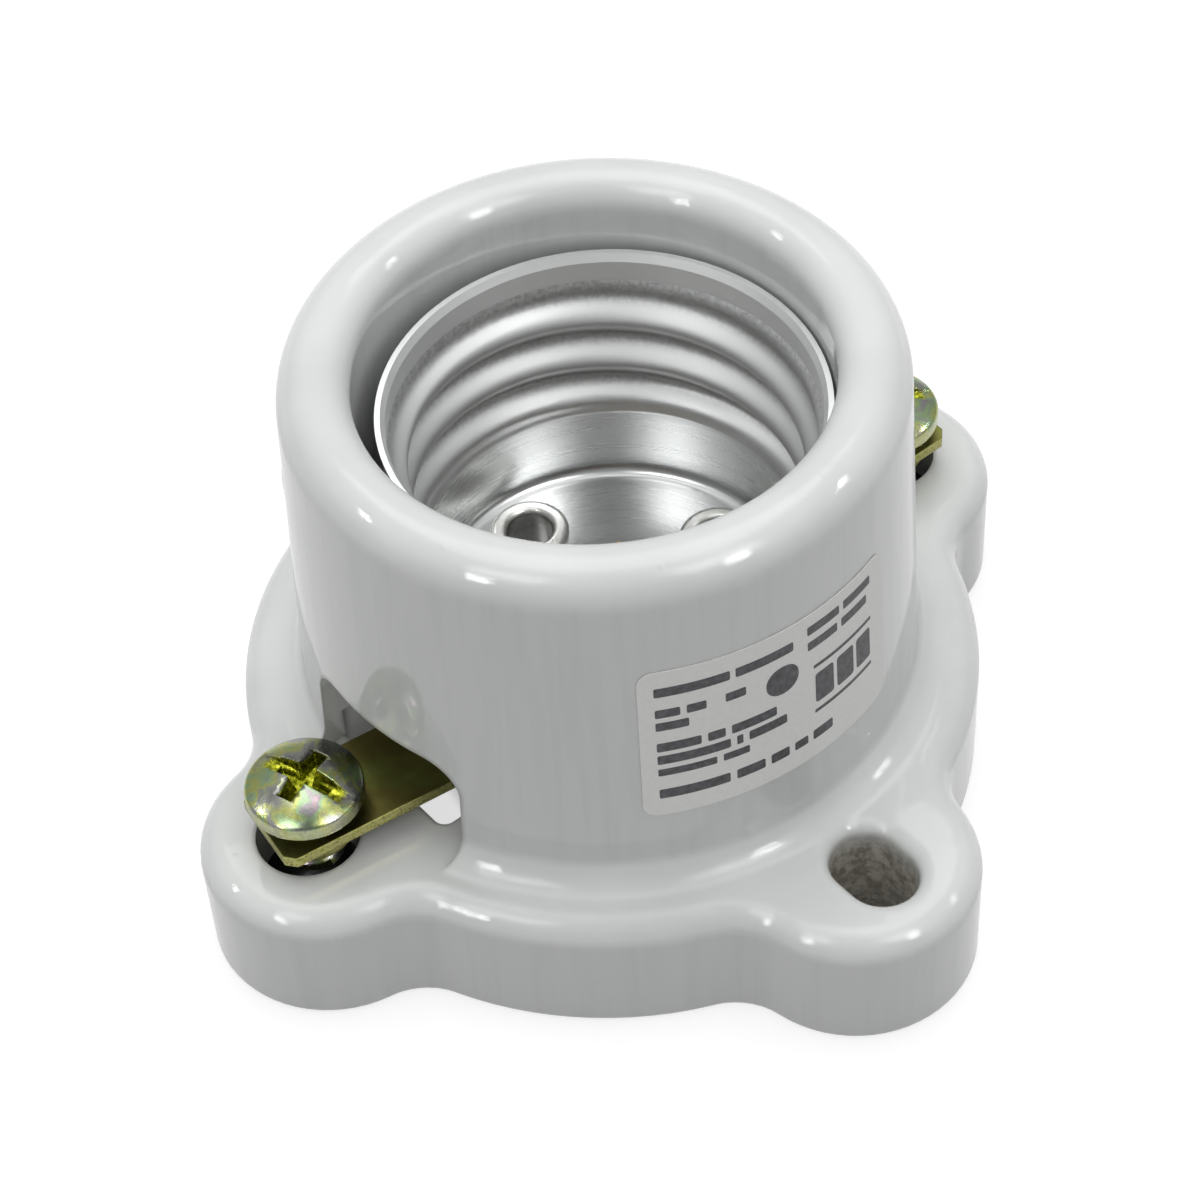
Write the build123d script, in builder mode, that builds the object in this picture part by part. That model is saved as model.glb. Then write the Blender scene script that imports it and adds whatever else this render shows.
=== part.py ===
from build123d import *
import os
from math import atan2, cos, degrees, radians, sin

# E27 lamp holder in glazed porcelain, in millimetres.
# The origin is the centre of the underside and +Z runs up the collar's axis.
# The two terminals lie along Y, the two fixing slots along X.

# Porcelain base: a disc with four round ears
base_radius = 24.0
base_thickness = 9.2
ear_count = 4
ear_reach = 23.4
ear_radius = 7.85
ear_blend = 4.5
base_top_share = 0.45
base_foot_round = 0.5

# Porcelain collar and the web across it, which carries the shell
body_height = 34.7
collar_top_radius = 19.0
collar_foot_radius = 20.0
collar_bore_radius = 14.6
collar_foot_share = 0.5
rim_outer_round = 2.4
rim_inner_round = 1.9
web_top = 11.6
web_thickness = 5.0
cavity_radius = 16.0
cavity_round = 1.0

# Openings in the collar and the web, one pair at each terminal. Each window in the web
# clears the rear strip's drop by the same two gaps.
slot_width = 12.7
slot_offset = 1.5
slot_top = 17.1
slot_corner = 2.5
window_width = 10.6
window_clearance_in = 1.8
window_clearance_out = 1.4
window_corner = 0.8

# Fixing slots, a small land away from the collar's foot blend
fixing_land = 0.1
fixing_width = 4.6
fixing_length = 6.0
fixing_round = 0.9

# Screw shell, E27 round thread rolled into sheet
shell_offset_x = 0.3
shell_offset_y = 0.4
shell_gauge = 0.35
thread_pitch = 3.629
thread_major_radius = 13.3
thread_minor_radius = 12.2
thread_foot = 17.4
thread_head = 28.2
thread_sections = 8
thread_phase_height = 23.5
thread_phase_angle = 142.7
band_top = 29.7
lip_height = 0.55
lip_radius = 13.9
cup_bend = 0.8
floor_hole_radius = 5.3

# Eyelets that hold the shell floor to the web
eyelet_count = 4
eyelet_reach = 8.8
eyelet_bore_radius = 1.5
eyelet_wall = 0.35
eyelet_flange_radius = 2.6
eyelet_roll = 0.5
eyelet_roll_round = 0.4
eyelet_clearance = 0.08
eyelet_grip = 2.2
eyelet_pocket_radius = 3.4

# Terminal strips
strip_gauge = 0.8
strip_clearance = 0.2
tongue_width = 6.4
tongue_overhang = 3.1
tongue_reach = 12.2
tongue_turn = {"shell": -8.0, "centre": 0.0}
tongue_corner = 0.6
eye_radius = 4.4
strip_boss_radius = 2.8
strip_boss_height = 1.0
strip_bend = 1.2
strip_drop_reach = 8.0
centre_eye_radius = 4.0

# Terminal screws, M4 with a combined slot and cross
terminal_reach = 24.2
screw_major_radius = 1.95
screw_clearance = 0.05
screw_length = 6.0
screw_tip_chamfer = 0.6
screw_gap = 1.4
head_radius = 3.7
head_height = 2.0
head_wall = 0.9
head_round = 0.4
head_slot_width = 1.0
head_slot_depth = 0.9
cross_length = 4.2
cross_width = 1.3
cross_depth = 1.5
cross_draft = 12.0
head_turn = {"shell": 19.0, "centre": 62.0}

# Wells below the screws, set off the collar's foot, and the compound that closes them
well_radius = 3.3
well_land = 1.2
seal_clearance = 0.02
seal_foot = 0.8
seal_top = 5.0

# Centre contact and its rivet
leaf_gauge = 0.35
leaf_width = 5.0
leaf_half_length = 4.2
leaf_rise = 2.6
leaf_fold_height = 1.9
leaf_tip_reach = 2.5
leaf_bend = 0.75
rivet_radius = 1.4
rivet_clearance = 0.08
rivet_head_radius = 2.0
rivet_head_height = 0.5
rivet_tail_height = 0.7
rivet_round = 0.4

# Most that an edge may lie from the place it is picked by
match_gap = 0.01

# Levels and places that follow from the sizes above
land_width = base_radius - collar_foot_radius
base_top_round = base_top_share * land_width
collar_foot_round = collar_foot_share * land_width
fixing_reach = collar_foot_radius + collar_foot_round + fixing_land + fixing_length / 2
well_place = collar_foot_radius + well_land + well_radius
drop_place = terminal_reach - strip_drop_reach
window_inner = drop_place - strip_gauge / 2 - window_clearance_in
window_outer = drop_place + strip_gauge / 2 + window_clearance_out
web_underside = web_top - web_thickness
eyelet_barrel_radius = eyelet_bore_radius + eyelet_wall
strip_underside = web_top - strip_gauge
floor_top = web_top + shell_gauge
eyelet_seat = web_top - eyelet_grip
screw_seat = web_top + screw_gap
terminal_turns = {"shell": 0.0, "centre": 180.0}
screw_place = (0, -terminal_reach)
shell_place = (shell_offset_x, shell_offset_y)


def terminal_plane(height, turn):
    """Level plane at a height, turned so that its -Y points at a terminal."""
    across = (cos(radians(turn)), sin(radians(turn)), 0)
    return Plane(origin=(0, 0, height), x_dir=across, z_dir=(0, 0, 1))


def shell_plane(height):
    """Level plane at a height, centred on the screw shell's axis."""
    return Plane.XY.offset(height).shift_origin(Vector(*shell_place, height))


def save(piece, name):
    piece.part.label = name
    export_step(piece.part, f"parts/{name}.step")


def eyed_tongue(grow):
    """Outline of the front strip: a turned tongue that ends in an eye round its eyelet."""
    with Locations(Location((*screw_place, 0), (0, 0, tongue_turn["shell"]))):
        with Locations((0, (tongue_reach - tongue_overhang) / 2)):
            Rectangle(tongue_width + 2 * grow, tongue_reach + tongue_overhang + 2 * grow)
    with Locations((shell_offset_x, shell_offset_y - eyelet_reach)):
        Circle(eye_radius + grow)


os.makedirs("parts", exist_ok=True)

# Porcelain body
with BuildPart() as porcelain_body:
    with BuildSketch(Plane.XY):
        Circle(base_radius)
        with PolarLocations(ear_reach, ear_count):
            Circle(ear_radius)
    extrude(amount=base_thickness)
    upright = porcelain_body.edges().filter_by(Axis.Z)
    hollows = upright.filter_by(lambda e: abs(Vector(e.center().X, e.center().Y).length - base_radius) < match_gap)
    fillet(hollows, ear_blend)
    fillet(porcelain_body.faces().sort_by(Axis.Z)[-1].edges(), base_top_round)
    fillet(porcelain_body.faces().sort_by(Axis.Z)[0].edges(), base_foot_round)

    # Tapered collar, blended into the base
    collar_height = body_height - base_thickness
    collar_draft = degrees(atan2(collar_foot_radius - collar_top_radius, collar_height))
    with BuildSketch(Plane.XY.offset(base_thickness)):
        Circle(collar_foot_radius)
    extrude(amount=collar_height, taper=collar_draft)
    foot_edge = porcelain_body.edges().filter_by(GeomType.CIRCLE).filter_by(
        lambda e: abs(e.radius - collar_foot_radius) < match_gap and abs(e.center().Z - base_thickness) < match_gap
    )
    fillet(foot_edge, collar_foot_round)

    # Bore down to the web, cavity up to it, and the rounded rim
    with BuildSketch(Plane.XY.offset(web_top)):
        Circle(collar_bore_radius)
    extrude(amount=body_height - web_top, mode=Mode.SUBTRACT)
    rim_edges = porcelain_body.faces().sort_by(Axis.Z)[-1].edges().sort_by(SortBy.RADIUS)
    fillet(rim_edges[-1], rim_outer_round)
    mouth_edges = porcelain_body.faces().sort_by(Axis.Z)[-1].edges().sort_by(SortBy.RADIUS)
    fillet(mouth_edges[0], rim_inner_round)
    with BuildSketch(Plane.XY):
        Circle(cavity_radius)
    extrude(amount=web_underside, mode=Mode.SUBTRACT)
    cavity_roof = porcelain_body.edges().filter_by(GeomType.CIRCLE).filter_by(
        lambda e: abs(e.radius - cavity_radius) < match_gap and abs(e.center().Z - web_underside) < match_gap
    )
    fillet(cavity_roof, cavity_round)

    # Collar slot and web window at each terminal
    for turn in terminal_turns.values():
        frame = terminal_plane(0, turn)
        slot_face = Plane(origin=frame.origin, x_dir=frame.x_dir, z_dir=-frame.y_dir)
        with BuildSketch(slot_face.offset(window_inner)) as slot_outline:
            with Locations((slot_offset, (base_thickness + slot_top) / 2)):
                Rectangle(slot_width, slot_top - base_thickness)
            fillet(slot_outline.vertices().group_by(Axis.Y)[-1], slot_corner)
        extrude(amount=collar_foot_radius + collar_foot_round - window_inner, mode=Mode.SUBTRACT)
        with BuildSketch(slot_face.offset(window_inner)) as slot_throat:
            with Locations((slot_offset, (web_top + slot_top) / 2)):
                Rectangle(slot_width, slot_top - web_top)
            fillet(slot_throat.vertices().group_by(Axis.Y)[-1], slot_corner)
        extrude(amount=window_inner - collar_bore_radius / 2, dir=tuple(frame.y_dir), mode=Mode.SUBTRACT)
        with BuildSketch(terminal_plane(0, turn)):
            with Locations((0, -(window_inner + window_outer) / 2)):
                RectangleRounded(window_width, window_outer - window_inner, window_corner)
        extrude(amount=web_top, mode=Mode.SUBTRACT)

    # Groove in the web for the front strip
    with BuildSketch(terminal_plane(strip_underside, terminal_turns["shell"])):
        eyed_tongue(strip_clearance)
    extrude(amount=strip_gauge, mode=Mode.SUBTRACT)

    # Fixing slots and terminal wells
    with BuildSketch(Plane.XY):
        with PolarLocations(fixing_reach, 2):
            SlotOverall(fixing_length, fixing_width)
        with PolarLocations(well_place, 2, start_angle=90):
            Circle(well_radius)
    extrude(amount=base_thickness, mode=Mode.SUBTRACT)
    ear_top = porcelain_body.faces().filter_by(Axis.Z).filter_by(
        lambda f: abs(f.center().Z - base_thickness) < match_gap
    )
    fixing_rims = ear_top.edges().filter_by(
        lambda e: abs(abs(e.center().X) - fixing_reach) < fixing_length / 2 and abs(e.center().Y) < fixing_width
    )
    fillet(fixing_rims, fixing_round)

    # Holes through the web: four eyelets with pockets below, and the centre rivet
    with BuildSketch(shell_plane(web_underside)):
        with PolarLocations(eyelet_reach, eyelet_count):
            Circle(eyelet_pocket_radius)
    extrude(amount=eyelet_seat - web_underside, mode=Mode.SUBTRACT)
    with BuildSketch(shell_plane(web_underside)):
        with PolarLocations(eyelet_reach, eyelet_count):
            Circle(eyelet_barrel_radius + eyelet_clearance)
        Circle(rivet_radius + rivet_clearance)
    extrude(amount=web_thickness, mode=Mode.SUBTRACT)
save(porcelain_body, "porcelain_body")


def threaded_core(grow):
    """Solid bounded by the shell's inner surface, or its outer one when grown by the gauge.

    A round thread is cut by level planes in circles set off the axis. Their centres go
    once round the axis for each pitch, and run back onto it at both ends of the thread.
    """
    swing = (thread_major_radius - thread_minor_radius) / 2
    middle = (thread_major_radius + thread_minor_radius) / 2
    count = round((thread_head - thread_foot) / thread_pitch * thread_sections)
    run_out = thread_sections // 2
    with BuildPart() as core:
        for i in range(count + 1):
            height = thread_foot + (thread_head - thread_foot) * i / count
            lead_in = min(1, i / run_out)
            lead_out = min(1, (count - i) / run_out)
            offset_now = swing * min(lead_in, lead_out)
            radius_now = middle - swing * (1 - lead_in) + swing * (1 - lead_out) + grow
            angle = radians(thread_phase_angle + 360 * (height - thread_phase_height) / thread_pitch)
            with BuildSketch(shell_plane(height)):
                with Locations((offset_now * cos(angle), offset_now * sin(angle))):
                    Circle(radius_now)
        loft()
        with BuildSketch(shell_plane(floor_top - grow)):
            Circle(thread_minor_radius + grow)
        extrude(amount=thread_foot - floor_top + grow)
        fillet(core.faces().sort_by(Axis.Z)[0].edges(), cup_bend + grow)
        with BuildSketch(shell_plane(thread_head)):
            Circle(thread_major_radius + grow)
        extrude(amount=band_top - thread_head)
        with BuildSketch(shell_plane(band_top)):
            Circle(thread_major_radius + grow)
        with BuildSketch(shell_plane(band_top + lip_height)):
            Circle(lip_radius - shell_gauge + grow)
        loft()
    return core.part


# Screw shell
with BuildPart() as screw_shell:
    add(threaded_core(shell_gauge))
    add(threaded_core(0), mode=Mode.SUBTRACT)
    with BuildSketch(shell_plane(web_top)):
        Circle(floor_hole_radius)
        with PolarLocations(eyelet_reach, eyelet_count):
            Circle(eyelet_barrel_radius + eyelet_clearance)
    extrude(amount=shell_gauge, mode=Mode.SUBTRACT)
save(screw_shell, "screw_shell")

# Eyelets, each rolled over the shell floor and spread below the web
for i in range(eyelet_count):
    place = radians(360 / eyelet_count * i)
    centre = (shell_offset_x + eyelet_reach * cos(place), shell_offset_y + eyelet_reach * sin(place), 0)
    with BuildPart() as eyelet:
        with BuildSketch(Plane(origin=centre, x_dir=(1, 0, 0), z_dir=(0, -1, 0))):
            with Locations((eyelet_bore_radius, eyelet_seat)):
                Rectangle(eyelet_wall, floor_top - eyelet_seat, align=(Align.MIN, Align.MIN))
            flange_width = eyelet_flange_radius - eyelet_bore_radius
            with Locations((eyelet_bore_radius, floor_top)):
                Rectangle(flange_width, eyelet_roll, align=(Align.MIN, Align.MIN))
            with Locations((eyelet_bore_radius, eyelet_seat - eyelet_wall)):
                Rectangle(flange_width, eyelet_wall, align=(Align.MIN, Align.MIN))
        revolve(axis=Axis(centre, (0, 0, 1)))
        fillet(eyelet.edges().group_by(Axis.Z)[-1], eyelet_roll_round)
    save(eyelet, f"shell_eyelet_{i + 1}")


def screw_hole(turn):
    """Drawn boss below a strip, with the screw's hole through both."""
    with Locations(terminal_plane(strip_underside, turn)):
        with Locations(screw_place):
            Cylinder(strip_boss_radius, strip_boss_height, align=(Align.CENTER, Align.CENTER, Align.MAX))
            Cylinder(
                screw_major_radius + screw_clearance,
                2 * (strip_gauge + strip_boss_height),
                mode=Mode.SUBTRACT,
            )


# Front strip, flat from its tongue to the eye below the shell
with BuildPart() as terminal_strip_shell:
    with BuildSketch(terminal_plane(strip_underside, terminal_turns["shell"])):
        eyed_tongue(0)
    extrude(amount=strip_gauge)
    chamfer(terminal_strip_shell.edges().filter_by(Axis.Z).sort_by(Axis.Y)[:2], tongue_corner)
    screw_hole(terminal_turns["shell"])
    with BuildSketch(Plane.XY.offset(strip_underside)):
        with Locations((shell_offset_x, shell_offset_y - eyelet_reach)):
            Circle(eyelet_barrel_radius + eyelet_clearance)
    extrude(amount=strip_gauge, mode=Mode.SUBTRACT)
save(terminal_strip_shell, "terminal_strip_shell")

# Rear strip, which drops through its window and runs below the web to the centre
with BuildPart() as terminal_strip_centre:
    rear = terminal_plane(0, terminal_turns["centre"])
    inward = rear.y_dir.rotate(Axis.Z, tongue_turn["centre"])
    rear_screw = rear.from_local_coords(Vector(0, -terminal_reach, 0))
    tongue_level = web_top - strip_gauge / 2
    lower_level = web_underside - strip_gauge / 2
    with BuildSketch(Plane(origin=rear_screw, x_dir=inward, z_dir=inward.cross(Vector(0, 0, 1)))):
        with BuildLine():
            FilletPolyline(
                (-tongue_overhang, tongue_level),
                (strip_drop_reach, tongue_level),
                (strip_drop_reach, lower_level),
                (terminal_reach - centre_eye_radius, lower_level),
                radius=strip_bend,
            )
        trace(line_width=strip_gauge)
    extrude(amount=tongue_width / 2, both=True)
    chamfer(terminal_strip_centre.edges().filter_by(Axis.Z).sort_by(Axis.Y)[-2:], tongue_corner)
    screw_hole(terminal_turns["centre"])
    with BuildSketch(shell_plane(web_underside - strip_gauge)):
        Circle(centre_eye_radius)
    extrude(amount=strip_gauge)
    with BuildSketch(shell_plane(web_underside - strip_gauge)):
        Circle(rivet_radius + rivet_clearance)
    extrude(amount=strip_gauge, mode=Mode.SUBTRACT)
save(terminal_strip_centre, "terminal_strip_centre")

# Centre contact, a leaf folded back over its own foot
with BuildPart() as centre_contact:
    leaf_side = Plane(origin=(*shell_place, web_top), x_dir=(1, 0, 0), z_dir=(0, -1, 0))
    with BuildSketch(leaf_side):
        with BuildLine():
            FilletPolyline(
                (-leaf_half_length, leaf_gauge / 2),
                (leaf_half_length - leaf_gauge / 2, leaf_gauge / 2),
                (leaf_half_length - leaf_gauge / 2, leaf_fold_height),
                (-leaf_tip_reach, leaf_rise),
                radius=leaf_bend,
            )
        trace(line_width=leaf_gauge)
    extrude(amount=leaf_width / 2, both=True)
    with BuildSketch(shell_plane(web_top)):
        Circle(rivet_radius + rivet_clearance)
    extrude(amount=leaf_gauge, mode=Mode.SUBTRACT)
save(centre_contact, "centre_contact")

# Centre rivet, headed on the leaf and set below the rear strip
with BuildPart() as centre_rivet:
    rivet_foot = web_underside - strip_gauge
    rivet_seat = web_top + leaf_gauge
    with BuildSketch(shell_plane(rivet_foot - rivet_tail_height)):
        Circle(rivet_head_radius)
    extrude(amount=rivet_tail_height)
    with BuildSketch(shell_plane(rivet_foot)):
        Circle(rivet_radius)
    extrude(amount=rivet_seat - rivet_foot)
    with BuildSketch(shell_plane(rivet_seat)):
        Circle(rivet_head_radius)
    extrude(amount=rivet_head_height)
    fillet(centre_rivet.edges().group_by(Axis.Z)[-1], rivet_round)
    fillet(centre_rivet.edges().group_by(Axis.Z)[0], rivet_round)
save(centre_rivet, "centre_rivet")

# Terminal screws, undone by the gap that the photo shows, and the compound in their wells
for name, turn in terminal_turns.items():
    axis_plane = terminal_plane(screw_seat, turn)
    with BuildPart() as terminal_screw:
        with BuildSketch(axis_plane):
            with Locations(screw_place):
                Circle(screw_major_radius)
        extrude(amount=-screw_length)
        chamfer(terminal_screw.edges().group_by(Axis.Z)[0], screw_tip_chamfer)
        crown = axis_plane.from_local_coords(Vector(*screw_place, 0))
        with BuildSketch(Plane(origin=crown, x_dir=(1, 0, 0), z_dir=(0, -1, 0))):
            with BuildLine():
                Line((0, 0), (head_radius, 0))
                Line((head_radius, 0), (head_radius, head_wall))
                TangentArc((0, head_height), (head_radius, head_wall), tangent=(1, 0))
                Line((0, head_height), (0, 0))
            make_face()
        revolve(axis=Axis(crown, (0, 0, 1)))
        shoulder = terminal_screw.edges().filter_by(GeomType.CIRCLE).filter_by(
            lambda e: abs(e.center().Z - screw_seat - head_wall) < match_gap
        )
        fillet(shoulder, head_round)
        with BuildSketch(axis_plane.offset(head_height)):
            with Locations(Location((*screw_place, 0), (0, 0, head_turn[name]))):
                Rectangle(2 * (head_radius + head_slot_width), head_slot_width)
        extrude(amount=-head_slot_depth, mode=Mode.SUBTRACT)
        for bar_turn in (0, 90):
            with BuildSketch(axis_plane.offset(head_height)):
                with Locations(Location((*screw_place, 0), (0, 0, head_turn[name] + bar_turn))):
                    Rectangle(cross_length, cross_width)
            extrude(amount=-cross_depth, taper=cross_draft, mode=Mode.SUBTRACT)
    save(terminal_screw, f"terminal_screw_{name}")

    with BuildPart() as well_seal:
        with BuildSketch(terminal_plane(seal_foot, turn)):
            with Locations((0, -well_place)):
                Circle(well_radius - seal_clearance)
        extrude(amount=seal_top - seal_foot)
    save(well_seal, f"well_seal_{name}")
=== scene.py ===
from math import cos, pi, radians, sin

import bmesh
import bpy
from mathutils import Matrix, Quaternion, Vector


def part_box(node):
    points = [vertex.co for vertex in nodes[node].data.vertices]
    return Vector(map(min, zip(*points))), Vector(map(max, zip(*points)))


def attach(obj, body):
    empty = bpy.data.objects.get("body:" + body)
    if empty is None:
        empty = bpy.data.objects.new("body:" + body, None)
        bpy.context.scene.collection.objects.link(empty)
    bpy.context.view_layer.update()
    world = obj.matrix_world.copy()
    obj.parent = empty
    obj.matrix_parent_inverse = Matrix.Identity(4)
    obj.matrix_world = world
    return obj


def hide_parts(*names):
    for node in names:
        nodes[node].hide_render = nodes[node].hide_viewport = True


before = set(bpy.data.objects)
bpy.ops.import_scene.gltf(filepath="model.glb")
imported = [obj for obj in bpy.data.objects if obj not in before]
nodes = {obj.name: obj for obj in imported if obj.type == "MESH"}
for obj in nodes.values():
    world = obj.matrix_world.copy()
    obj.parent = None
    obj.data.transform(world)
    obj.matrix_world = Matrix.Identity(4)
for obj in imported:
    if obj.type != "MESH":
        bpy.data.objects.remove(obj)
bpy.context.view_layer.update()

# A porcelain lamp holder: glazed body, spun aluminium screw shell, two screw terminals.
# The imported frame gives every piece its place. Sizes here are in metres, by way of MM.

MM = 0.001
body_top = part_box("porcelain_body")[1].z
shell_low, shell_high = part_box("screw_shell")
shell_axis = (shell_low + shell_high) / 2
screw_low, screw_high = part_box("terminal_screw_shell")
screw_reach = abs(screw_low.y + screw_high.y) / 2

# Camera, as fitted to the photograph's outlines
CAMERA_AZIMUTH = 52.90
CAMERA_ELEVATION = 47.95
CAMERA_ROLL = -3.79
CAMERA_DISTANCE = 210.5 * MM
CAMERA_TARGET = Vector((-0.83 * MM, 0, 11.90 * MM))
CAMERA_LENS = 97.64

# Lamps point at the target. The glow is the part of the floor's white that no shadow darkens.
# It falls off below the hollow body, in the middle: painted shade there.
LAMP_TARGET = Vector((0, 0, 15 * MM))
LAMP_DISTANCE = 0.8
FLOOR_GLOW = 0.7
FLOOR_GLOW_MIDDLE = 0.16
FLOOR_MIDDLE = (10.5 * MM, 12.5 * MM)

# Paper label round the collar
LABEL_ANGLES = (-33.5, 19.5)
LABEL_FOOT = 15.0 * MM
LABEL_TOP = 27.4 * MM
LABEL_CORNER = 1.0 * MM
LABEL_GAUGE = 0.08 * MM
LABEL_LIFT = 0.02 * MM
COLLAR_FOOT_RADIUS = 20.0 * MM
COLLAR_TOP_RADIUS = 19.0 * MM
COLLAR_FOOT = 9.2 * MM
BEND_STEP = 1.0
PRINT_GAUGE = 0.01 * MM
PRINT_ROUNDING = 0.16
DISC_ROUNDING = 0.47
CORNER_STEPS = 6

# Plain bars in place of the label's print, in mm from its lower left corner: start, end, row, height
PRINT_BARS = [
    (1.0, 5.6, 10.7, 0.75), (6.0, 9.9, 10.7, 0.75),
    (1.0, 2.5, 8.9, 0.7), (2.9, 4.1, 8.9, 0.7), (5.3, 6.6, 8.9, 0.7),
    (1.0, 3.0, 7.8, 0.7),
    (1.0, 3.7, 6.0, 0.75), (4.1, 5.2, 6.0, 0.75), (5.6, 8.6, 6.0, 0.75),
    (1.0, 5.5, 4.9, 0.75), (5.9, 6.3, 4.9, 0.75), (6.7, 9.3, 4.9, 0.75),
    (1.0, 4.6, 3.8, 0.6), (5.0, 6.7, 3.8, 0.6),
    (1.0, 5.4, 1.9, 0.8), (5.8, 7.7, 1.9, 0.8), (8.1, 9.4, 1.9, 0.8),
    (9.8, 10.8, 1.9, 0.7), (11.2, 12.8, 1.9, 0.8),
    (11.0, 13.6, 11.1, 0.7), (14.0, 16.6, 11.1, 0.7),
    (11.0, 13.4, 9.8, 0.7), (13.8, 16.2, 9.8, 0.7),
    (11.4, 16.6, 7.8, 0.28), (11.4, 16.6, 3.9, 0.28),
    (11.5, 13.0, 5.85, 2.5), (13.3, 14.8, 5.85, 2.5), (15.1, 16.5, 5.85, 2.5),
]

# The print's disc, in mm from the same corner: place along, row, width
PRINT_DISC = (9.1, 8.3, 2.3)

# Glaze over sharp corners, and the bare insides of the fixing slots
GLAZE_ROUND = 0.5 * MM
SLOT_REACH = 25.1 * MM
SLOT_HALF_LENGTH = 3.1 * MM
SLOT_HALF_WIDTH = 2.45 * MM
SLOT_BARE_TOP = 7.0 * MM
SLOT_GLAZE_FOOT = 8.8 * MM

# Zones of the screw shell: the floor's edge, where its painted shade fades out, the rolled thread's two
# ends, and the thread's roots
SHELL_FLOOR_TOP = 0.9 * MM
SHELL_WALL_FOOT = 2.2 * MM
ROLLING_FOOT = (17.0 * MM, 19.0 * MM)
ROLLING_HEAD = (27.2 * MM, 28.4 * MM)
ROLLED_TOP = 28.2 * MM
ROLLED_ROOT = (12.85 * MM, 13.25 * MM)

# Terminal screws: the recess in the domed head, and the M4 thread
SCREW_LENGTH = 6.0 * MM
SCREW_SIDES = 40
HEAD_DEPTH = 1.7 * MM
DOME_RADIUS = 6.77 * MM
RECESS_DEPTHS = (0.3 * MM, 0.15 * MM)
RECESS_REACHES = (3.0 * MM, 3.4 * MM)
THREAD_PITCH = 0.7 * MM
THREAD_MAJOR = 1.94 * MM
THREAD_DEPTH = 0.32 * MM
THREAD_CORE = 1.62 * MM
THREAD_STEPS = 24


# Small helpers

def linear(code):
    """An sRGB hex colour as linear RGBA."""
    levels = [int(code[i:i + 2], 16) / 255 for i in (1, 3, 5)]
    return tuple(v / 12.92 if v <= 0.04045 else ((v + 0.055) / 1.055) ** 2.4 for v in levels) + (1.0,)


def add(tree, kind, inputs=None, **settings):
    """Adds a node, sets its properties, and fills its inputs with values or other nodes' outputs."""
    made = tree.nodes.new(kind)
    for name, value in settings.items():
        setattr(made, name, value)
    for key, value in (inputs or {}).items():
        if isinstance(value, bpy.types.NodeSocket):
            tree.links.new(value, made.inputs[key])
        else:
            made.inputs[key].default_value = value
    return made


def new_material(name):
    """An empty node material with its output and a Principled shader joined to it."""
    made = bpy.data.materials.new(name)
    made.use_nodes = True
    tree = made.node_tree
    tree.nodes.clear()
    shader = add(tree, "ShaderNodeBsdfPrincipled")
    add(tree, "ShaderNodeOutputMaterial", {"Surface": shader.outputs[0]})
    return made, tree, shader


def finish_node(name, made):
    """Gives a CAD node its material, in place of the plain one that it was packed with."""
    slots = nodes[name].material_slots
    for place in slots:
        place.material = made


def ramp(tree, factor, stops):
    """A colour ramp through (place, sRGB hex) stops."""
    made = add(tree, "ShaderNodeValToRGB", {"Fac": factor})
    elements = made.color_ramp.elements
    while len(elements) < len(stops):
        elements.new(0.5)
    for element, (place, code) in zip(elements, stops):
        element.position = place
        element.color = linear(code)
    return made.outputs["Color"]


# Materials

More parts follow.
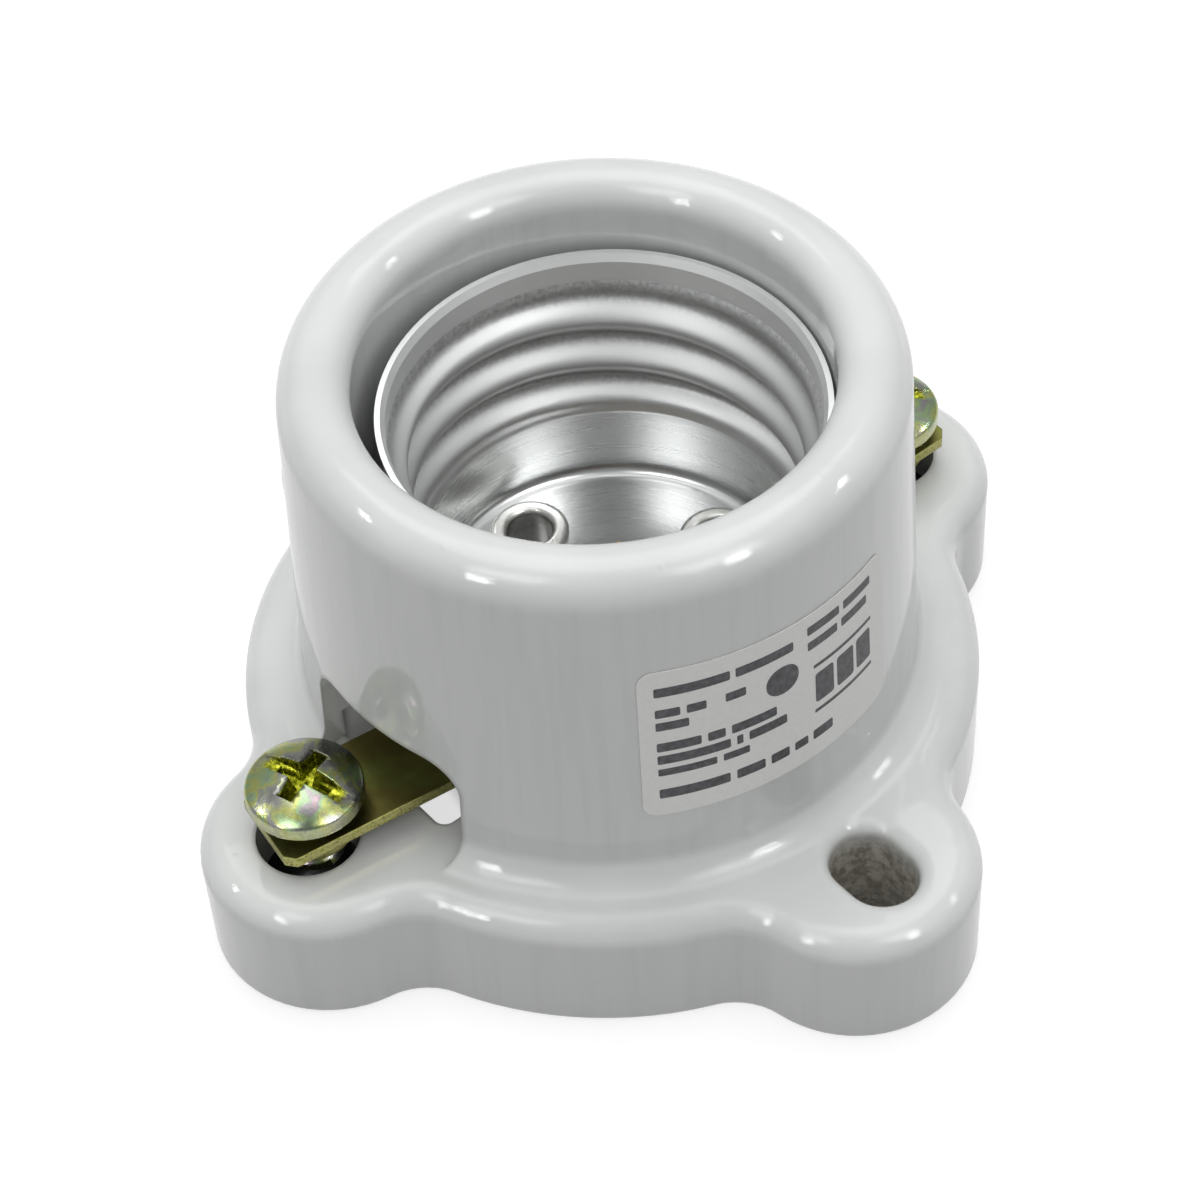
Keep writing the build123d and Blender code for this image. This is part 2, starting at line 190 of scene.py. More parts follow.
def glazed_porcelain():
    """Pressed porcelain under a clear fired glaze: grey white, glossy, with faint drips and pinholes.

    The fixing slots stay unglazed inside, coloured a darker grey brown: the bare body, with painted shade in
    the hole.
    """
    made, tree, shader = new_material("Glazed porcelain")
    place = add(tree, "ShaderNodeTexCoord").outputs["Object"]
    eased = add(tree, "ShaderNodeBevel", {"Radius": GLAZE_ROUND}, samples=4).outputs[0]
    normal = add(tree, "ShaderNodeNewGeometry").outputs["Normal"]
    upright = add(tree, "ShaderNodeSeparateXYZ", {"Vector": normal}).outputs["Z"]
    wall = add(tree, "ShaderNodeMapRange", {
        "Value": add(tree, "ShaderNodeMath", {0: upright}, operation="ABSOLUTE").outputs[0],
        "From Min": 0.08, "From Max": 0.45, "To Min": 1.0, "To Max": 0.0,
    }).outputs[0]

    cloud = add(tree, "ShaderNodeTexNoise", {
        "Vector": place, "Scale": 1 / (9 * MM), "Detail": 3.0, "Roughness": 0.5,
    }).outputs["Fac"]
    tone = ramp(tree, cloud, [(0.35, "#D2D4D3"), (0.65, "#DADCDB")])
    # Painted shade: upright walls take a darker grey than the level tops.
    wall_painted_shade = add(tree, "ShaderNodeMix", {
        "Factor": wall, "A": tone, "B": linear("#CCCECD"),
    }, data_type="RGBA").outputs["Result"]
    drip_place = add(tree, "ShaderNodeMapping", {"Vector": place, "Scale": (1, 1, 0.06)}).outputs[0]
    drips = add(tree, "ShaderNodeTexNoise", {
        "Vector": drip_place, "Scale": 1 / (1.1 * MM), "Detail": 2.0, "Roughness": 0.6,
    }).outputs["Fac"]
    drip_depth = add(tree, "ShaderNodeMath", {
        0: add(tree, "ShaderNodeMapRange", {
            "Value": drips, "From Min": 0.45, "From Max": 0.75, "To Min": 0.0, "To Max": 0.22,
        }).outputs[0],
        1: wall,
    }, operation="MULTIPLY").outputs[0]
    streaked = add(tree, "ShaderNodeMix", {
        "Factor": drip_depth, "A": wall_painted_shade, "B": linear("#B4B8B7"),
    }, data_type="RGBA").outputs["Result"]

    specks = add(tree, "ShaderNodeTexVoronoi", {"Vector": place, "Scale": 1 / (4.5 * MM)})
    rare = add(tree, "ShaderNodeMath", {
        0: add(tree, "ShaderNodeSeparateColor", {"Color": specks.outputs["Color"]}).outputs[0], 1: 0.93,
    }, operation="GREATER_THAN").outputs[0]
    near = add(tree, "ShaderNodeMapRange", {
        "Value": specks.outputs["Distance"], "From Min": 0.02, "From Max": 0.06,
        "To Min": 0.7, "To Max": 0.0,
    }).outputs[0]
    speck = add(tree, "ShaderNodeMath", {0: rare, 1: near}, operation="MULTIPLY").outputs[0]
    speckled = add(tree, "ShaderNodeMix", {
        "Factor": speck, "A": streaked, "B": linear("#8C8A86"),
    }, data_type="RGBA").outputs["Result"]

    # Inside the fixing slots the body is bare, and its colour is darkened by painted shade
    parts = add(tree, "ShaderNodeSeparateXYZ", {"Vector": place})
    reach = add(tree, "ShaderNodeMath", {0: parts.outputs["X"]}, operation="ABSOLUTE").outputs[0]
    off_centre = add(tree, "ShaderNodeMath", {
        0: add(tree, "ShaderNodeMath", {0: reach, 1: SLOT_REACH}, operation="SUBTRACT").outputs[0],
    }, operation="ABSOLUTE").outputs[0]
    along = add(tree, "ShaderNodeMath", {
        0: off_centre, 1: SLOT_HALF_LENGTH,
    }, operation="LESS_THAN").outputs[0]
    across = add(tree, "ShaderNodeMath", {
        0: add(tree, "ShaderNodeMath", {0: parts.outputs["Y"]}, operation="ABSOLUTE").outputs[0],
        1: SLOT_HALF_WIDTH,
    }, operation="LESS_THAN").outputs[0]
    below = add(tree, "ShaderNodeMapRange", {
        "Value": parts.outputs["Z"], "From Min": SLOT_BARE_TOP, "From Max": SLOT_GLAZE_FOOT,
        "To Min": 1.0, "To Max": 0.0,
    }).outputs[0]
    bare = add(tree, "ShaderNodeMath", {
        0: add(tree, "ShaderNodeMath", {0: along, 1: across}, operation="MULTIPLY").outputs[0], 1: below,
    }, operation="MULTIPLY").outputs[0]
    glazed = add(tree, "ShaderNodeMath", {0: 1.0, 1: bare}, operation="SUBTRACT").outputs[0]
    grit = add(tree, "ShaderNodeTexNoise", {
        "Vector": place, "Scale": 1 / (0.8 * MM), "Detail": 3.0, "Roughness": 0.7,
    }).outputs["Fac"]
    biscuit_with_painted_shade = ramp(tree, grit, [(0.4, "#8C887C"), (0.62, "#C4C0B6")])
    colour = add(tree, "ShaderNodeMix", {
        "Factor": bare, "A": speckled, "B": biscuit_with_painted_shade,
    }, data_type="RGBA").outputs["Result"]

    peel = add(tree, "ShaderNodeTexNoise", {
        "Vector": place, "Scale": 1 / (3.5 * MM), "Detail": 2.0, "Roughness": 0.45,
    }).outputs["Fac"]
    waves = add(tree, "ShaderNodeBump", {
        "Height": peel, "Strength": 0.25, "Distance": 0.12 * MM, "Normal": eased,
    }).outputs[0]
    pits = add(tree, "ShaderNodeTexVoronoi", {"Vector": place, "Scale": 1 / (1.6 * MM)})
    few = add(tree, "ShaderNodeMath", {
        0: add(tree, "ShaderNodeSeparateColor", {"Color": pits.outputs["Color"]}).outputs[1], 1: 0.8,
    }, operation="GREATER_THAN").outputs[0]
    dent = add(tree, "ShaderNodeMapRange", {
        "Value": pits.outputs["Distance"], "From Min": 0.03, "From Max": 0.14, "To Min": 1.0, "To Max": 0.0,
    }).outputs[0]
    pitted = add(tree, "ShaderNodeBump", {
        "Height": add(tree, "ShaderNodeMath", {0: few, 1: dent}, operation="MULTIPLY").outputs[0],
        "Strength": 0.5, "Distance": 0.04 * MM, "Normal": waves,
    }).outputs[0]
    ripple = add(tree, "ShaderNodeMath", {0: wall, 1: 0.2}, operation="MULTIPLY").outputs[0]
    rippled = add(tree, "ShaderNodeBump", {
        "Height": drips, "Strength": ripple, "Distance": 0.03 * MM, "Normal": pitted,
    }).outputs[0]

    tree.links.new(colour, shader.inputs["Base Color"])
    tree.links.new(rippled, shader.inputs["Normal"])
    tree.links.new(rippled, shader.inputs["Coat Normal"])
    coat = add(tree, "ShaderNodeMath", {0: glazed, 1: 0.7}, operation="MULTIPLY").outputs[0]
    tree.links.new(coat, shader.inputs["Coat Weight"])
    shader.inputs["Roughness"].default_value = 0.5
    shader.inputs["Specular IOR Level"].default_value = 0.2
    shader.inputs["Coat Roughness"].default_value = 0.04
    shader.inputs["Coat IOR"].default_value = 1.5
    return made


def spun_aluminium():
    """Sheet aluminium spun to shape: smooth and soft on the drawn cup, duller in the rolled thread."""
    made, tree, shader = new_material("Spun aluminium")
    place = add(tree, "ShaderNodeTexCoord").outputs["Object"]
    centred = add(tree, "ShaderNodeVectorMath", {
        0: place, 1: (shell_axis.x, shell_axis.y, 0),
    }, operation="SUBTRACT").outputs[0]
    parts = add(tree, "ShaderNodeSeparateXYZ", {"Vector": centred})
    flat = add(tree, "ShaderNodeCombineXYZ", {"X": parts.outputs["X"], "Y": parts.outputs["Y"]}).outputs[0]
    reach = add(tree, "ShaderNodeVectorMath", {0: flat}, operation="LENGTH").outputs["Value"]
    turned = add(tree, "ShaderNodeCombineXYZ", {"X": reach, "Z": parts.outputs["Z"]}).outputs[0]
    lines = add(tree, "ShaderNodeTexNoise", {
        "Vector": turned, "Scale": 1 / (0.5 * MM), "Detail": 2.0, "Roughness": 0.6,
    }).outputs["Fac"]
    grain = add(tree, "ShaderNodeTexNoise", {
        "Vector": place, "Scale": 1 / (0.35 * MM), "Detail": 3.0, "Roughness": 0.65,
    }).outputs["Fac"]
    root = add(tree, "ShaderNodeMapRange", {
        "Value": reach, "From Min": ROLLED_ROOT[0], "From Max": ROLLED_ROOT[1], "To Min": 0.0, "To Max": 1.0,
    }).outputs[0]
    below_band = add(tree, "ShaderNodeMath", {
        0: parts.outputs["Z"], 1: ROLLED_TOP,
    }, operation="LESS_THAN").outputs[0]
    dull = add(tree, "ShaderNodeMath", {
        0: add(tree, "ShaderNodeMapRange", {
            "Value": grain, "From Min": 0.42, "From Max": 0.62, "To Min": 0.1, "To Max": 0.6,
        }).outputs[0],
        1: add(tree, "ShaderNodeMath", {0: root, 1: below_band}, operation="MULTIPLY").outputs[0],
    }, operation="MULTIPLY").outputs[0]
    rolled = add(tree, "ShaderNodeMapRange", {
        "Value": parts.outputs["Z"], "From Min": ROLLING_FOOT[0], "From Max": ROLLING_FOOT[1],
        "To Min": 0.0, "To Max": 0.25,
    }).outputs[0]
    threaded = add(tree, "ShaderNodeMath", {
        0: rolled, 1: add(tree, "ShaderNodeMapRange", {
            "Value": parts.outputs["Z"], "From Min": ROLLING_HEAD[0], "From Max": ROLLING_HEAD[1],
            "To Min": 4.0, "To Max": 0.0,
        }).outputs[0],
    }, operation="MULTIPLY").outputs[0]
    # Painted shade: the floor of the shell is coloured darker than its wall.
    off_floor = add(tree, "ShaderNodeMapRange", {
        "Value": parts.outputs["Z"], "From Min": shell_low.z + SHELL_FLOOR_TOP,
        "From Max": shell_low.z + SHELL_WALL_FOOT, "To Min": 0.0, "To Max": 1.0,
    }).outputs[0]
    floor_shaded_colour = add(tree, "ShaderNodeMix", {
        "Factor": off_floor, "A": linear("#C2C3C3"), "B": linear("#E6E7E7"),
    }, data_type="RGBA").outputs["Result"]
    bright = add(tree, "ShaderNodeMix", {
        "Factor": threaded, "A": floor_shaded_colour, "B": linear("#BEBFBF"),
    }, data_type="RGBA").outputs["Result"]
    colour = add(tree, "ShaderNodeMix", {
        "Factor": dull, "A": bright, "B": linear("#9E9E9D"),
    }, data_type="RGBA").outputs["Result"]
    gloss = add(tree, "ShaderNodeMath", {
        0: add(tree, "ShaderNodeMapRange", {
            "Value": lines, "From Min": 0.3, "From Max": 0.7, "To Min": 0.27, "To Max": 0.28,
        }).outputs[0],
        1: rolled,
    }, operation="ADD").outputs[0]
    relief = add(tree, "ShaderNodeMath", {0: dull, 1: 0.5}, operation="MULTIPLY").outputs[0]
    grained = add(tree, "ShaderNodeBump", {
        "Height": grain, "Strength": relief, "Distance": 0.02 * MM,
    }).outputs[0]
    tangent = add(tree, "ShaderNodeTangent", direction_type="RADIAL", axis="Z").outputs[0]
    tree.links.new(colour, shader.inputs["Base Color"])
    tree.links.new(gloss, shader.inputs["Roughness"])
    tree.links.new(grained, shader.inputs["Normal"])
    tree.links.new(tangent, shader.inputs["Tangent"])
    shader.inputs["Metallic"].default_value = 1.0
    shader.inputs["Anisotropic"].default_value = 0.35
    return made


def rolled_eyelet():
    """Tinned rivet metal rolled over: light, satin, a little dull on top."""
    made, tree, shader = new_material("Rolled eyelet metal")
    place = add(tree, "ShaderNodeTexCoord").outputs["Object"]
    grain = add(tree, "ShaderNodeTexNoise", {
        "Vector": place, "Scale": 1 / (0.6 * MM), "Detail": 3.0, "Roughness": 0.6,
    }).outputs["Fac"]
    gloss = add(tree, "ShaderNodeMapRange", {
        "Value": grain, "From Min": 0.3, "From Max": 0.7, "To Min": 0.25, "To Max": 0.4,
    }).outputs[0]
    tree.links.new(ramp(tree, grain, [(0.3, "#C4C5C2"), (0.7, "#DADAD6")]), shader.inputs["Base Color"])
    tree.links.new(gloss, shader.inputs["Roughness"])
    shader.inputs["Metallic"].default_value = 1.0
    return made


def passivated_zinc(name, stops, gloss, patch_mm, edge_highlight_stops, edge_highlight_share, recess_stops=None):
    """Zinc plate with a yellow chromate film, whose thickness shifts the hue from patch to patch.

    The side faces, such as the strips' sheared edges, take a lighter ramp, partly the film's own colour and
    partly a painted highlight; the film differs in the recesses of the heads.
    """
    made, tree, shader = new_material(name)
    place = add(tree, "ShaderNodeTexCoord").outputs["Object"]
    eased = add(tree, "ShaderNodeBevel", {"Radius": 0.12 * MM}, samples=4).outputs[0]
    film = add(tree, "ShaderNodeTexNoise", {
        "Vector": place, "Scale": 1 / (patch_mm * MM), "Detail": 2.5, "Roughness": 0.55, "Distortion": 0.6,
    }).outputs["Fac"]
    scratch = add(tree, "ShaderNodeTexNoise", {
        "Vector": place, "Scale": 1 / (0.3 * MM), "Detail": 4.0, "Roughness": 0.6,
    }).outputs["Fac"]
    normal = add(tree, "ShaderNodeNewGeometry").outputs["Normal"]
    level = add(tree, "ShaderNodeSeparateXYZ", {"Vector": normal}).outputs["Z"]
    # Side faces get the edge ramp: partly film colour, partly a painted highlight.
    upright = add(tree, "ShaderNodeMapRange", {
        "Value": add(tree, "ShaderNodeMath", {0: level}, operation="ABSOLUTE").outputs[0],
        "From Min": 0.2, "From Max": 0.6, "To Min": edge_highlight_share, "To Max": 0.0,
    }).outputs[0]
    roughness = add(tree, "ShaderNodeMapRange", {
        "Value": scratch, "From Min": 0.3, "From Max": 0.7, "To Min": gloss, "To Max": gloss + 0.12,
    }).outputs[0]
    bump = add(tree, "ShaderNodeBump", {
        "Height": scratch, "Strength": 0.3, "Distance": 0.03 * MM, "Normal": eased,
    }).outputs[0]
    colour = add(tree, "ShaderNodeMix", {
        "Factor": upright, "A": ramp(tree, film, stops), "B": ramp(tree, scratch, edge_highlight_stops),
    }, data_type="RGBA").outputs["Result"]
    if recess_stops:
        parts = add(tree, "ShaderNodeSeparateXYZ", {"Vector": place})
        off_axis = add(tree, "ShaderNodeMath", {
            0: add(tree, "ShaderNodeMath", {0: parts.outputs["Y"]}, operation="ABSOLUTE").outputs[0],
            1: screw_reach,
        }, operation="SUBTRACT").outputs[0]
        flat = add(tree, "ShaderNodeCombineXYZ", {"X": parts.outputs["X"], "Y": off_axis}).outputs[0]
        reach = add(tree, "ShaderNodeVectorMath", {0: flat}, operation="LENGTH").outputs["Value"]
        fall = add(tree, "ShaderNodeMath", {
            0: add(tree, "ShaderNodeMath", {0: reach, 1: 2.0}, operation="POWER").outputs[0],
            1: 1 / (2 * DOME_RADIUS), 2: parts.outputs["Z"],
        }, operation="MULTIPLY_ADD").outputs[0]
        sunk = add(tree, "ShaderNodeMapRange", {
            "Value": fall, "From Min": screw_high.z - RECESS_DEPTHS[0],
            "From Max": screw_high.z - RECESS_DEPTHS[1], "To Min": 1.0, "To Max": 0.0,
        }).outputs[0]
        inner = add(tree, "ShaderNodeMapRange", {
            "Value": reach, "From Min": RECESS_REACHES[0], "From Max": RECESS_REACHES[1],
            "To Min": 1.0, "To Max": 0.0,
        }).outputs[0]
        in_head = add(tree, "ShaderNodeMath", {
            0: parts.outputs["Z"], 1: screw_high.z - HEAD_DEPTH,
        }, operation="GREATER_THAN").outputs[0]
        hollow = add(tree, "ShaderNodeMath", {0: sunk, 1: inner}, operation="MULTIPLY").outputs[0]
        recess = add(tree, "ShaderNodeMath", {0: hollow, 1: in_head}, operation="MULTIPLY").outputs[0]
        colour = add(tree, "ShaderNodeMix", {
            "Factor": recess, "A": colour, "B": ramp(tree, scratch, recess_stops),
        }, data_type="RGBA").outputs["Result"]
    tree.links.new(colour, shader.inputs["Base Color"])
    tree.links.new(roughness, shader.inputs["Roughness"])
    tree.links.new(bump, shader.inputs["Normal"])
    shader.inputs["Metallic"].default_value = 1.0
    return made


def sealing_compound():
    """Poured bitumen compound, set hard: black and glossy, with a faint skin."""
    made, tree, shader = new_material("Sealing compound")
    place = add(tree, "ShaderNodeTexCoord").outputs["Object"]
    skin = add(tree, "ShaderNodeTexNoise", {
        "Vector": place, "Scale": 1 / (1.5 * MM), "Detail": 2.0, "Roughness": 0.5,
    }).outputs["Fac"]
    bump = add(tree, "ShaderNodeBump", {"Height": skin, "Strength": 0.4, "Distance": 0.1 * MM}).outputs[0]
    tree.links.new(ramp(tree, skin, [(0.3, "#0E0E0F"), (0.7, "#1A1A1B")]), shader.inputs["Base Color"])
    tree.links.new(bump, shader.inputs["Normal"])
    shader.inputs["Roughness"].default_value = 0.15
    return made


def rolled_bronze():
    """Phosphor bronze strip, rolled bright, slightly tarnished."""
    made, tree, shader = new_material("Phosphor bronze")
    place = add(tree, "ShaderNodeTexCoord").outputs["Object"]
    stretched = add(tree, "ShaderNodeMapping", {"Vector": place, "Scale": (0.1, 1, 1)}).outputs[0]
    grain = add(tree, "ShaderNodeTexNoise", {
        "Vector": stretched, "Scale": 1 / (0.4 * MM), "Detail": 3.0, "Roughness": 0.6,
    }).outputs["Fac"]
    tree.links.new(ramp(tree, grain, [(0.3, "#A88A66"), (0.7, "#BFA380")]), shader.inputs["Base Color"])
    shader.inputs["Metallic"].default_value = 1.0
    shader.inputs["Roughness"].default_value = 0.3
    return made


def label_paper():
    """Uncoated self-adhesive paper: off white and matte, with a faint fibre."""
    made, tree, shader = new_material("Label paper")
    place = add(tree, "ShaderNodeTexCoord").outputs["Object"]
    fibre = add(tree, "ShaderNodeTexNoise", {
        "Vector": place, "Scale": 1 / (0.35 * MM), "Detail": 4.0, "Roughness": 0.7,
    }).outputs["Fac"]
    bump = add(tree, "ShaderNodeBump", {
        "Height": fibre, "Strength": 0.15, "Distance": 0.02 * MM,
    }).outputs[0]
    tree.links.new(ramp(tree, fibre, [(0.3, "#DFDFDD"), (0.7, "#E6E6E4")]), shader.inputs["Base Color"])
    tree.links.new(bump, shader.inputs["Normal"])
    shader.inputs["Roughness"].default_value = 0.55
    return made


def label_ink():
    """Black transfer ink on paper, a little worn."""
    made, tree, shader = new_material("Label ink")
    place = add(tree, "ShaderNodeTexCoord").outputs["Object"]
    wear = add(tree, "ShaderNodeTexNoise", {
        "Vector": place, "Scale": 1 / (0.4 * MM), "Detail": 3.0, "Roughness": 0.6,
    }).outputs["Fac"]
    tree.links.new(ramp(tree, wear, [(0.35, "#2E2E30"), (0.75, "#55565A")]), shader.inputs["Base Color"])
    shader.inputs["Roughness"].default_value = 0.5
    return made


# Pieces

def join(shape, extra):
    """Moves one bmesh into another and frees it."""
    carrier = bpy.data.meshes.new("carrier")
    extra.to_mesh(carrier)
    extra.free()
    shape.from_mesh(carrier)
    bpy.data.meshes.remove(carrier)


def finish_piece(shape, name, made, body):
    """Turns a bmesh into a named piece of a body, with its material."""
    mesh = bpy.data.meshes.new(name)
    shape.to_mesh(mesh)
    shape.free()
    mesh.materials.append(made)
    piece = bpy.data.objects.new(name, mesh)
    bpy.context.scene.collection.objects.link(piece)
    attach(piece, body)
    return piece


# Label

def collar_radius(height):
    """Radius of the tapered collar at a height."""
    share = (height - COLLAR_FOOT) / (body_top - COLLAR_FOOT)
    return COLLAR_FOOT_RADIUS + (COLLAR_TOP_RADIUS - COLLAR_FOOT_RADIUS) * share


def add_patch(shape, centre_angle, centre_height, width, height, corner, lift, gauge):
    """Adds a thin rounded rectangle bent round the collar, width measured along the arc."""
    mean_radius = collar_radius(centre_height)
    patch = bmesh.new()
    bmesh.ops.create_grid(patch, x_segments=1, y_segments=1, size=0.5)
    bmesh.ops.scale(patch, vec=(width, height, 1), verts=patch.verts)
    if corner:
        bmesh.ops.bevel(patch, geom=patch.verts[:], offset=corner, offset_type="OFFSET", affect="VERTICES",
                        segments=CORNER_STEPS, profile=0.5, material=-1)
    step = mean_radius * radians(BEND_STEP)
    cut = -width / 2 + step
    while cut < width / 2:
        bmesh.ops.bisect_plane(patch, geom=patch.verts[:] + patch.edges[:] + patch.faces[:],
                               plane_co=(cut, 0, 0), plane_no=(1, 0, 0))
        cut += step
    for vert in patch.verts:
        angle = radians(centre_angle) + vert.co.x / mean_radius
        level = centre_height + vert.co.y
        reach = collar_radius(level) + lift
        vert.co = Vector((reach * cos(angle), reach * sin(angle), level))
    bmesh.ops.recalc_face_normals(patch, faces=patch.faces)
    outward = Vector((cos(radians(centre_angle)), sin(radians(centre_angle)), 0))
    patch.faces.ensure_lookup_table()
    if patch.faces[0].normal.dot(outward) < 0:
        bmesh.ops.reverse_faces(patch, faces=patch.faces)
    bmesh.ops.solidify(patch, geom=patch.faces[:], thickness=gauge)
    join(shape, patch)


def make_label():
    """The paper label, and its print as plain bars, a disc and a framed field that say nothing."""
    middle = sum(LABEL_ANGLES) / 2
    level = (LABEL_FOOT + LABEL_TOP) / 2
    span = radians(LABEL_ANGLES[1] - LABEL_ANGLES[0]) * collar_radius(level)
    paper_top = LABEL_LIFT + LABEL_GAUGE
    paper = bmesh.new()
    add_patch(paper, middle, level, span, LABEL_TOP - LABEL_FOOT, LABEL_CORNER, paper_top, LABEL_GAUGE)
    finish_piece(paper, "collar_label", label_paper(), "holder")
    ink = bmesh.new()
    along, row, across = PRINT_DISC
    marks = [(start, end, row, weight, PRINT_ROUNDING) for start, end, row, weight in PRINT_BARS]
    marks.append((along - across / 2, along + across / 2, row, across, DISC_ROUNDING))
    for start, end, row, weight, rounding in marks:
        width = (end - start) * MM
        share = (start + end) / 2 * MM / span
        angle = LABEL_ANGLES[0] + share * (LABEL_ANGLES[1] - LABEL_ANGLES[0])
        corner = min(width, weight * MM) * rounding
        add_patch(ink, angle, LABEL_FOOT + row * MM, width, weight * MM, corner, paper_top + PRINT_GAUGE,
                  PRINT_GAUGE)
    finish_piece(ink, "label_print", label_ink(), "holder")


# Terminal screws

def make_screw(terminal, body, made):
    """A screw with the CAD's head, and a rolled thread in place of its plain shank."""
    node = f"terminal_screw_{terminal}"
    low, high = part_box(node)
    axis = (low + high) / 2
    seat = low.z + SCREW_LENGTH
    shape = bmesh.new()
    shape.from_mesh(nodes[node].data)
    bmesh.ops.remove_doubles(shape, verts=shape.verts, dist=0.0001 * MM)
    bmesh.ops.bisect_plane(shape, geom=shape.verts[:] + shape.edges[:] + shape.faces[:],
                           plane_co=(0, 0, seat), plane_no=(0, 0, 1), clear_inner=True)
    shank = bmesh.new()
    bmesh.ops.create_cone(shank, cap_ends=True, segments=SCREW_SIDES, radius1=THREAD_CORE - THREAD_DEPTH,
                          radius2=THREAD_CORE, depth=THREAD_DEPTH)
    bmesh.ops.translate(shank, vec=(axis.x, axis.y, low.z + THREAD_DEPTH / 2), verts=shank.verts)
    core = bmesh.ops.create_cone(shank, cap_ends=True, segments=SCREW_SIDES, radius1=THREAD_CORE,
                                 radius2=THREAD_CORE, depth=SCREW_LENGTH - THREAD_DEPTH)
    bmesh.ops.translate(shank, vec=(axis.x, axis.y, (low.z + THREAD_DEPTH + seat) / 2), verts=core["verts"])
    ridge = bmesh.ops.create_circle(shank, segments=4, radius=THREAD_DEPTH)
    upright = Matrix.Rotation(radians(90), 3, "X")
    bmesh.ops.rotate(shank, cent=(0, 0, 0), matrix=upright, verts=ridge["verts"])
    start = Vector((axis.x + THREAD_MAJOR - THREAD_DEPTH, axis.y, low.z + 2 * THREAD_DEPTH))
    bmesh.ops.translate(shank, vec=start, verts=ridge["verts"])
    steps = int((SCREW_LENGTH - 3 * THREAD_DEPTH) / THREAD_PITCH * THREAD_STEPS)
    edges = list({edge for vert in ridge["verts"] for edge in vert.link_edges})
    bmesh.ops.spin(shank, geom=ridge["verts"] + edges, cent=(axis.x, axis.y, 0), axis=(0, 0, 1),
                   dvec=(0, 0, THREAD_PITCH / THREAD_STEPS), angle=2 * pi * steps / THREAD_STEPS,
                   steps=steps, use_merge=False, use_duplicate=False)
    bmesh.ops.holes_fill(shank, edges=[edge for edge in shank.edges if edge.is_boundary], sides=4)
    bmesh.ops.recalc_face_normals(shank, faces=shank.faces)
    join(shape, shank)
    piece = finish_piece(shape, f"threaded_screw_{terminal}", made, body)
    piece.data.shade_smooth()
    piece.data.set_sharp_from_angle(angle=radians(28))
    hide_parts(node)


# Studio

def make_camera():
    """The photograph's view: from the front right, looking well down."""
    azimuth, elevation = radians(CAMERA_AZIMUTH), radians(CAMERA_ELEVATION)
    back = Vector((sin(azimuth) * cos(elevation), -cos(azimuth) * cos(elevation), sin(elevation)))
    lens = bpy.data.cameras.new("camera")
    lens.lens = CAMERA_LENS
    lens.sensor_width = 36.0
    lens.clip_start = 0.01
    camera = bpy.data.objects.new("camera", lens)
    bpy.context.scene.collection.objects.link(camera)
    camera.rotation_mode = "QUATERNION"
    level = (-back).to_track_quat("-Z", "Y")
    camera.rotation_quaternion = level @ Quaternion((0, 0, 1), radians(CAMERA_ROLL))
    camera.location = CAMERA_TARGET + back * CAMERA_DISTANCE
    bpy.context.scene.camera = camera


def area_light(name, azimuth, elevation, size, power, matt=True, gloss=True):
    """A square lamp in a direction from the object, turned to it. It may act on gloss or matt light only."""
    lamp = bpy.data.lights.new(name, "AREA")
    lamp.shape = "SQUARE"
    lamp.size = size
    lamp.energy = power
    holder = bpy.data.objects.new(name, lamp)
    bpy.context.scene.collection.objects.link(holder)
    turn, rise = radians(azimuth), radians(elevation)
    outward = Vector((cos(turn) * cos(rise), sin(turn) * cos(rise), sin(rise)))
    holder.location = LAMP_TARGET + outward * LAMP_DISTANCE
    holder.rotation_mode = "QUATERNION"
    holder.rotation_quaternion = (-outward).to_track_quat("-Z", "Y")
    holder.visible_diffuse = matt
    holder.visible_glossy = gloss


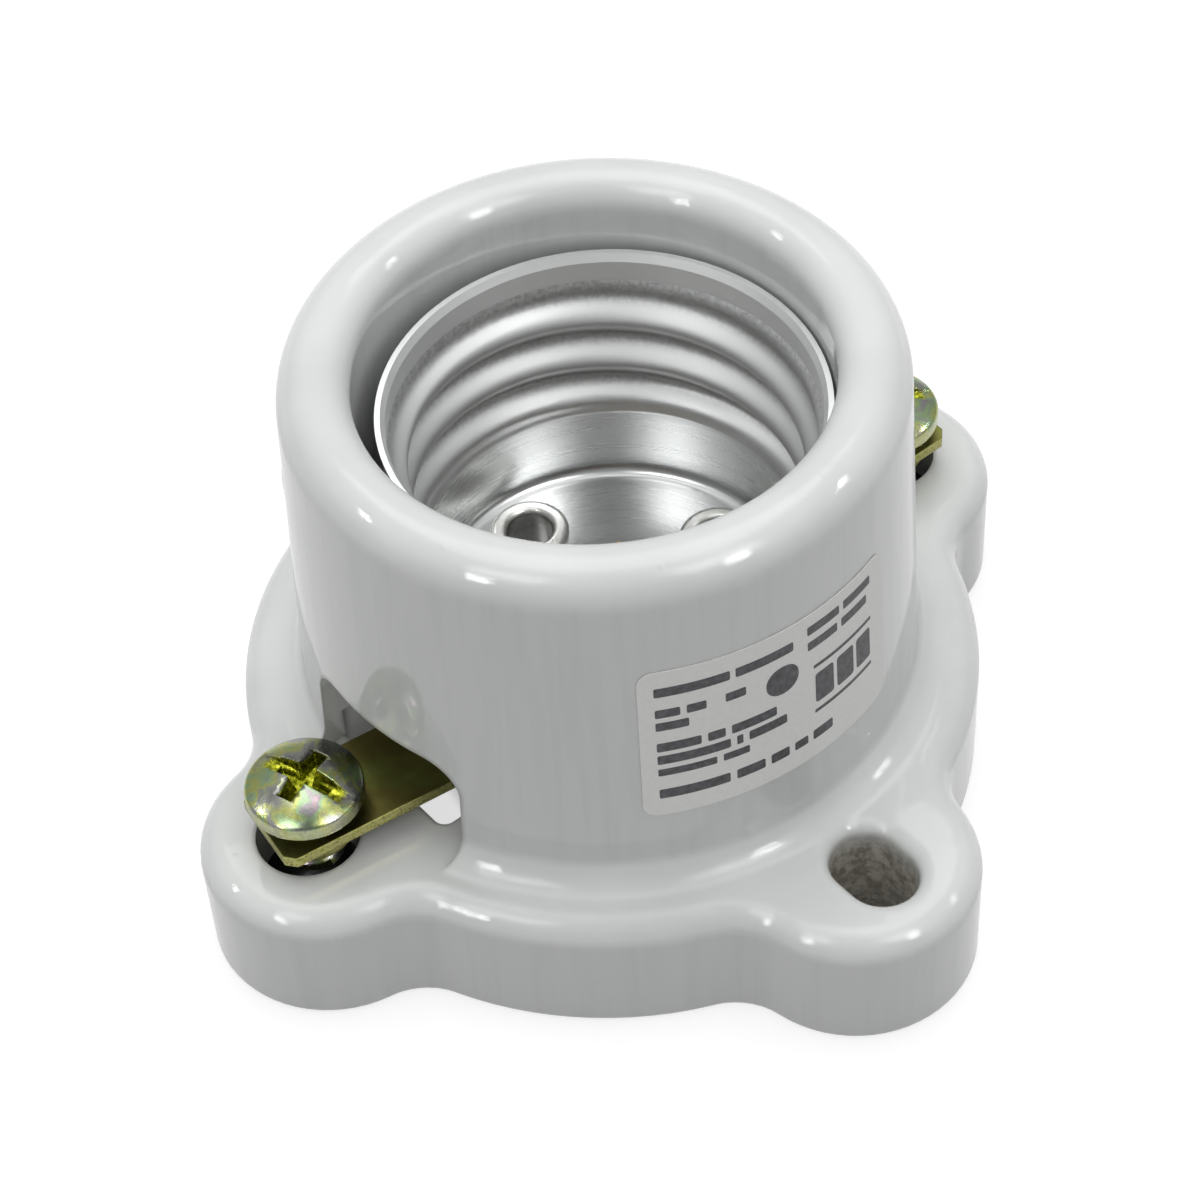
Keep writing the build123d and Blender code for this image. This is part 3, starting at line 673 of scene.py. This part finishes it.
def make_studio():
    """A pale floor, a soft world darker behind the camera, two wide lamps, and small ones seen in gloss."""
    scene = bpy.context.scene
    scene.view_settings.view_transform = "Standard"
    world = bpy.data.worlds.new("studio")
    scene.world = world
    world.use_nodes = True
    tree = world.node_tree
    tree.nodes.clear()
    ray = add(tree, "ShaderNodeTexCoord").outputs["Generated"]
    height = add(tree, "ShaderNodeSeparateXYZ", {"Vector": ray}).outputs["Z"]
    sky = ramp(tree, height, [(0.0, "#B8B8B8"), (0.4, "#C8C8C8"), (0.9, "#E8E8E8")])
    turn, rise = radians(CAMERA_AZIMUTH - 90), radians(CAMERA_ELEVATION)
    behind = (cos(turn) * cos(rise), sin(turn) * cos(rise), sin(rise))
    toward = add(tree, "ShaderNodeVectorMath", {
        0: ray, 1: behind,
    }, operation="DOT_PRODUCT").outputs["Value"]
    dark = add(tree, "ShaderNodeMapRange", {
        "Value": toward, "From Min": 0.78, "From Max": 0.95, "To Min": 0.0, "To Max": 0.8,
    }).outputs[0]
    room = add(tree, "ShaderNodeMix", {
        "Factor": dark, "A": sky, "B": linear("#3A3A3A"),
    }, data_type="RGBA").outputs["Result"]
    lit = add(tree, "ShaderNodeBackground", {"Color": room, "Strength": 1.05})
    add(tree, "ShaderNodeOutputWorld", {"Surface": lit.outputs[0]})

    shape = bmesh.new()
    bmesh.ops.create_grid(shape, x_segments=1, y_segments=1, size=1.5)
    mesh = bpy.data.meshes.new("floor")
    shape.to_mesh(mesh)
    shape.free()
    floor = bpy.data.objects.new("floor", mesh)
    scene.collection.objects.link(floor)
    made, floor_tree, shader = new_material("Pale floor")
    path = add(floor_tree, "ShaderNodeLightPath")
    seen = add(floor_tree, "ShaderNodeMath", {
        0: path.outputs["Is Camera Ray"], 1: path.outputs["Is Glossy Ray"],
    }, operation="MAXIMUM").outputs[0]
    seen = add(floor_tree, "ShaderNodeMath", {
        0: seen, 1: path.outputs["Is Transmission Ray"],
    }, operation="MAXIMUM").outputs[0]
    colour = add(floor_tree, "ShaderNodeMix", {
        "Factor": seen, "A": linear("#9C9C9C"), "B": linear("#A8A8A8"),
    }, data_type="RGBA").outputs["Result"]
    # Painted shade: the floor's glow drops under the hollow body, in the middle.
    from_middle = add(floor_tree, "ShaderNodeVectorMath", {
        0: add(floor_tree, "ShaderNodeTexCoord").outputs["Object"],
    }, operation="LENGTH").outputs["Value"]
    open_floor = add(floor_tree, "ShaderNodeMapRange", {
        "Value": from_middle, "From Min": FLOOR_MIDDLE[0], "From Max": FLOOR_MIDDLE[1],
        "To Min": FLOOR_GLOW_MIDDLE, "To Max": 1.0,
    }).outputs[0]
    glow = add(floor_tree, "ShaderNodeMath", {
        0: add(floor_tree, "ShaderNodeMath", {0: seen, 1: FLOOR_GLOW}, operation="MULTIPLY").outputs[0],
        1: open_floor,
    }, operation="MULTIPLY").outputs[0]
    floor_tree.links.new(colour, shader.inputs["Base Color"])
    floor_tree.links.new(glow, shader.inputs["Emission Strength"])
    shader.inputs["Emission Color"].default_value = linear("#FFFFFF")
    shader.inputs["Roughness"].default_value = 0.9
    shader.inputs["Specular IOR Level"].default_value = 0.0
    floor.data.materials.append(made)

    area_light("top_box", 143, 73, 0.6, 2.75)
    area_light("front_fill", -37, 50, 0.5, 1.2, gloss=False)
    area_light("left_box", -78, 54, 0.26, 1.1, matt=False)
    area_light("right_box", 8, 54, 0.3, 1.45, matt=False)
    area_light("left_strip", -80, 32, 0.1, 1.1, matt=False)
    area_light("right_strip", 10, 40, 0.1, 1.1, matt=False)
    area_light("back_right", 57, 38, 0.06, 0.5, matt=False)
    area_light("back_left", -132, 40, 0.06, 0.5, matt=False)


# Assembly

make_camera()
make_studio()
porcelain = glazed_porcelain()
aluminium = spun_aluminium()
eyelet_metal = rolled_eyelet()
strip_zinc = passivated_zinc(
    "Passivated strip", [(0.3, "#5A5430"), (0.5, "#7A7440"), (0.62, "#7E8446"), (0.75, "#A39A68")],
    0.3, 6.0,
    [(0.34, "#6C6C30"), (0.5, "#BDB87C"), (0.62, "#8F9440"), (0.72, "#6A6648")], 0.9)
screw_zinc = passivated_zinc(
    "Passivated screw", [(0.32, "#787774"), (0.42, "#8E918A"), (0.5, "#A3A765"), (0.56, "#8BA27C"),
                         (0.66, "#8C8889"), (0.78, "#A0888E")], 0.18, 2.2,
    [(0.35, "#8C8E66"), (0.6, "#B2B08C")], 0.6, [(0.36, "#545A14"), (0.5, "#8E9424"), (0.64, "#BCB646")])
compound = sealing_compound()
bronze = rolled_bronze()

finish_node("porcelain_body", porcelain)
finish_node("screw_shell", aluminium)
for i in range(1, 5):
    finish_node(f"shell_eyelet_{i}", eyelet_metal)
for terminal in ("shell", "centre"):
    finish_node(f"terminal_strip_{terminal}", strip_zinc)
    finish_node(f"terminal_screw_{terminal}", screw_zinc)
    make_screw(terminal, "front_screw" if terminal == "shell" else "rear_screw", screw_zinc)
    finish_node(f"well_seal_{terminal}", compound)
finish_node("centre_contact", bronze)
finish_node("centre_rivet", bronze)
make_label()
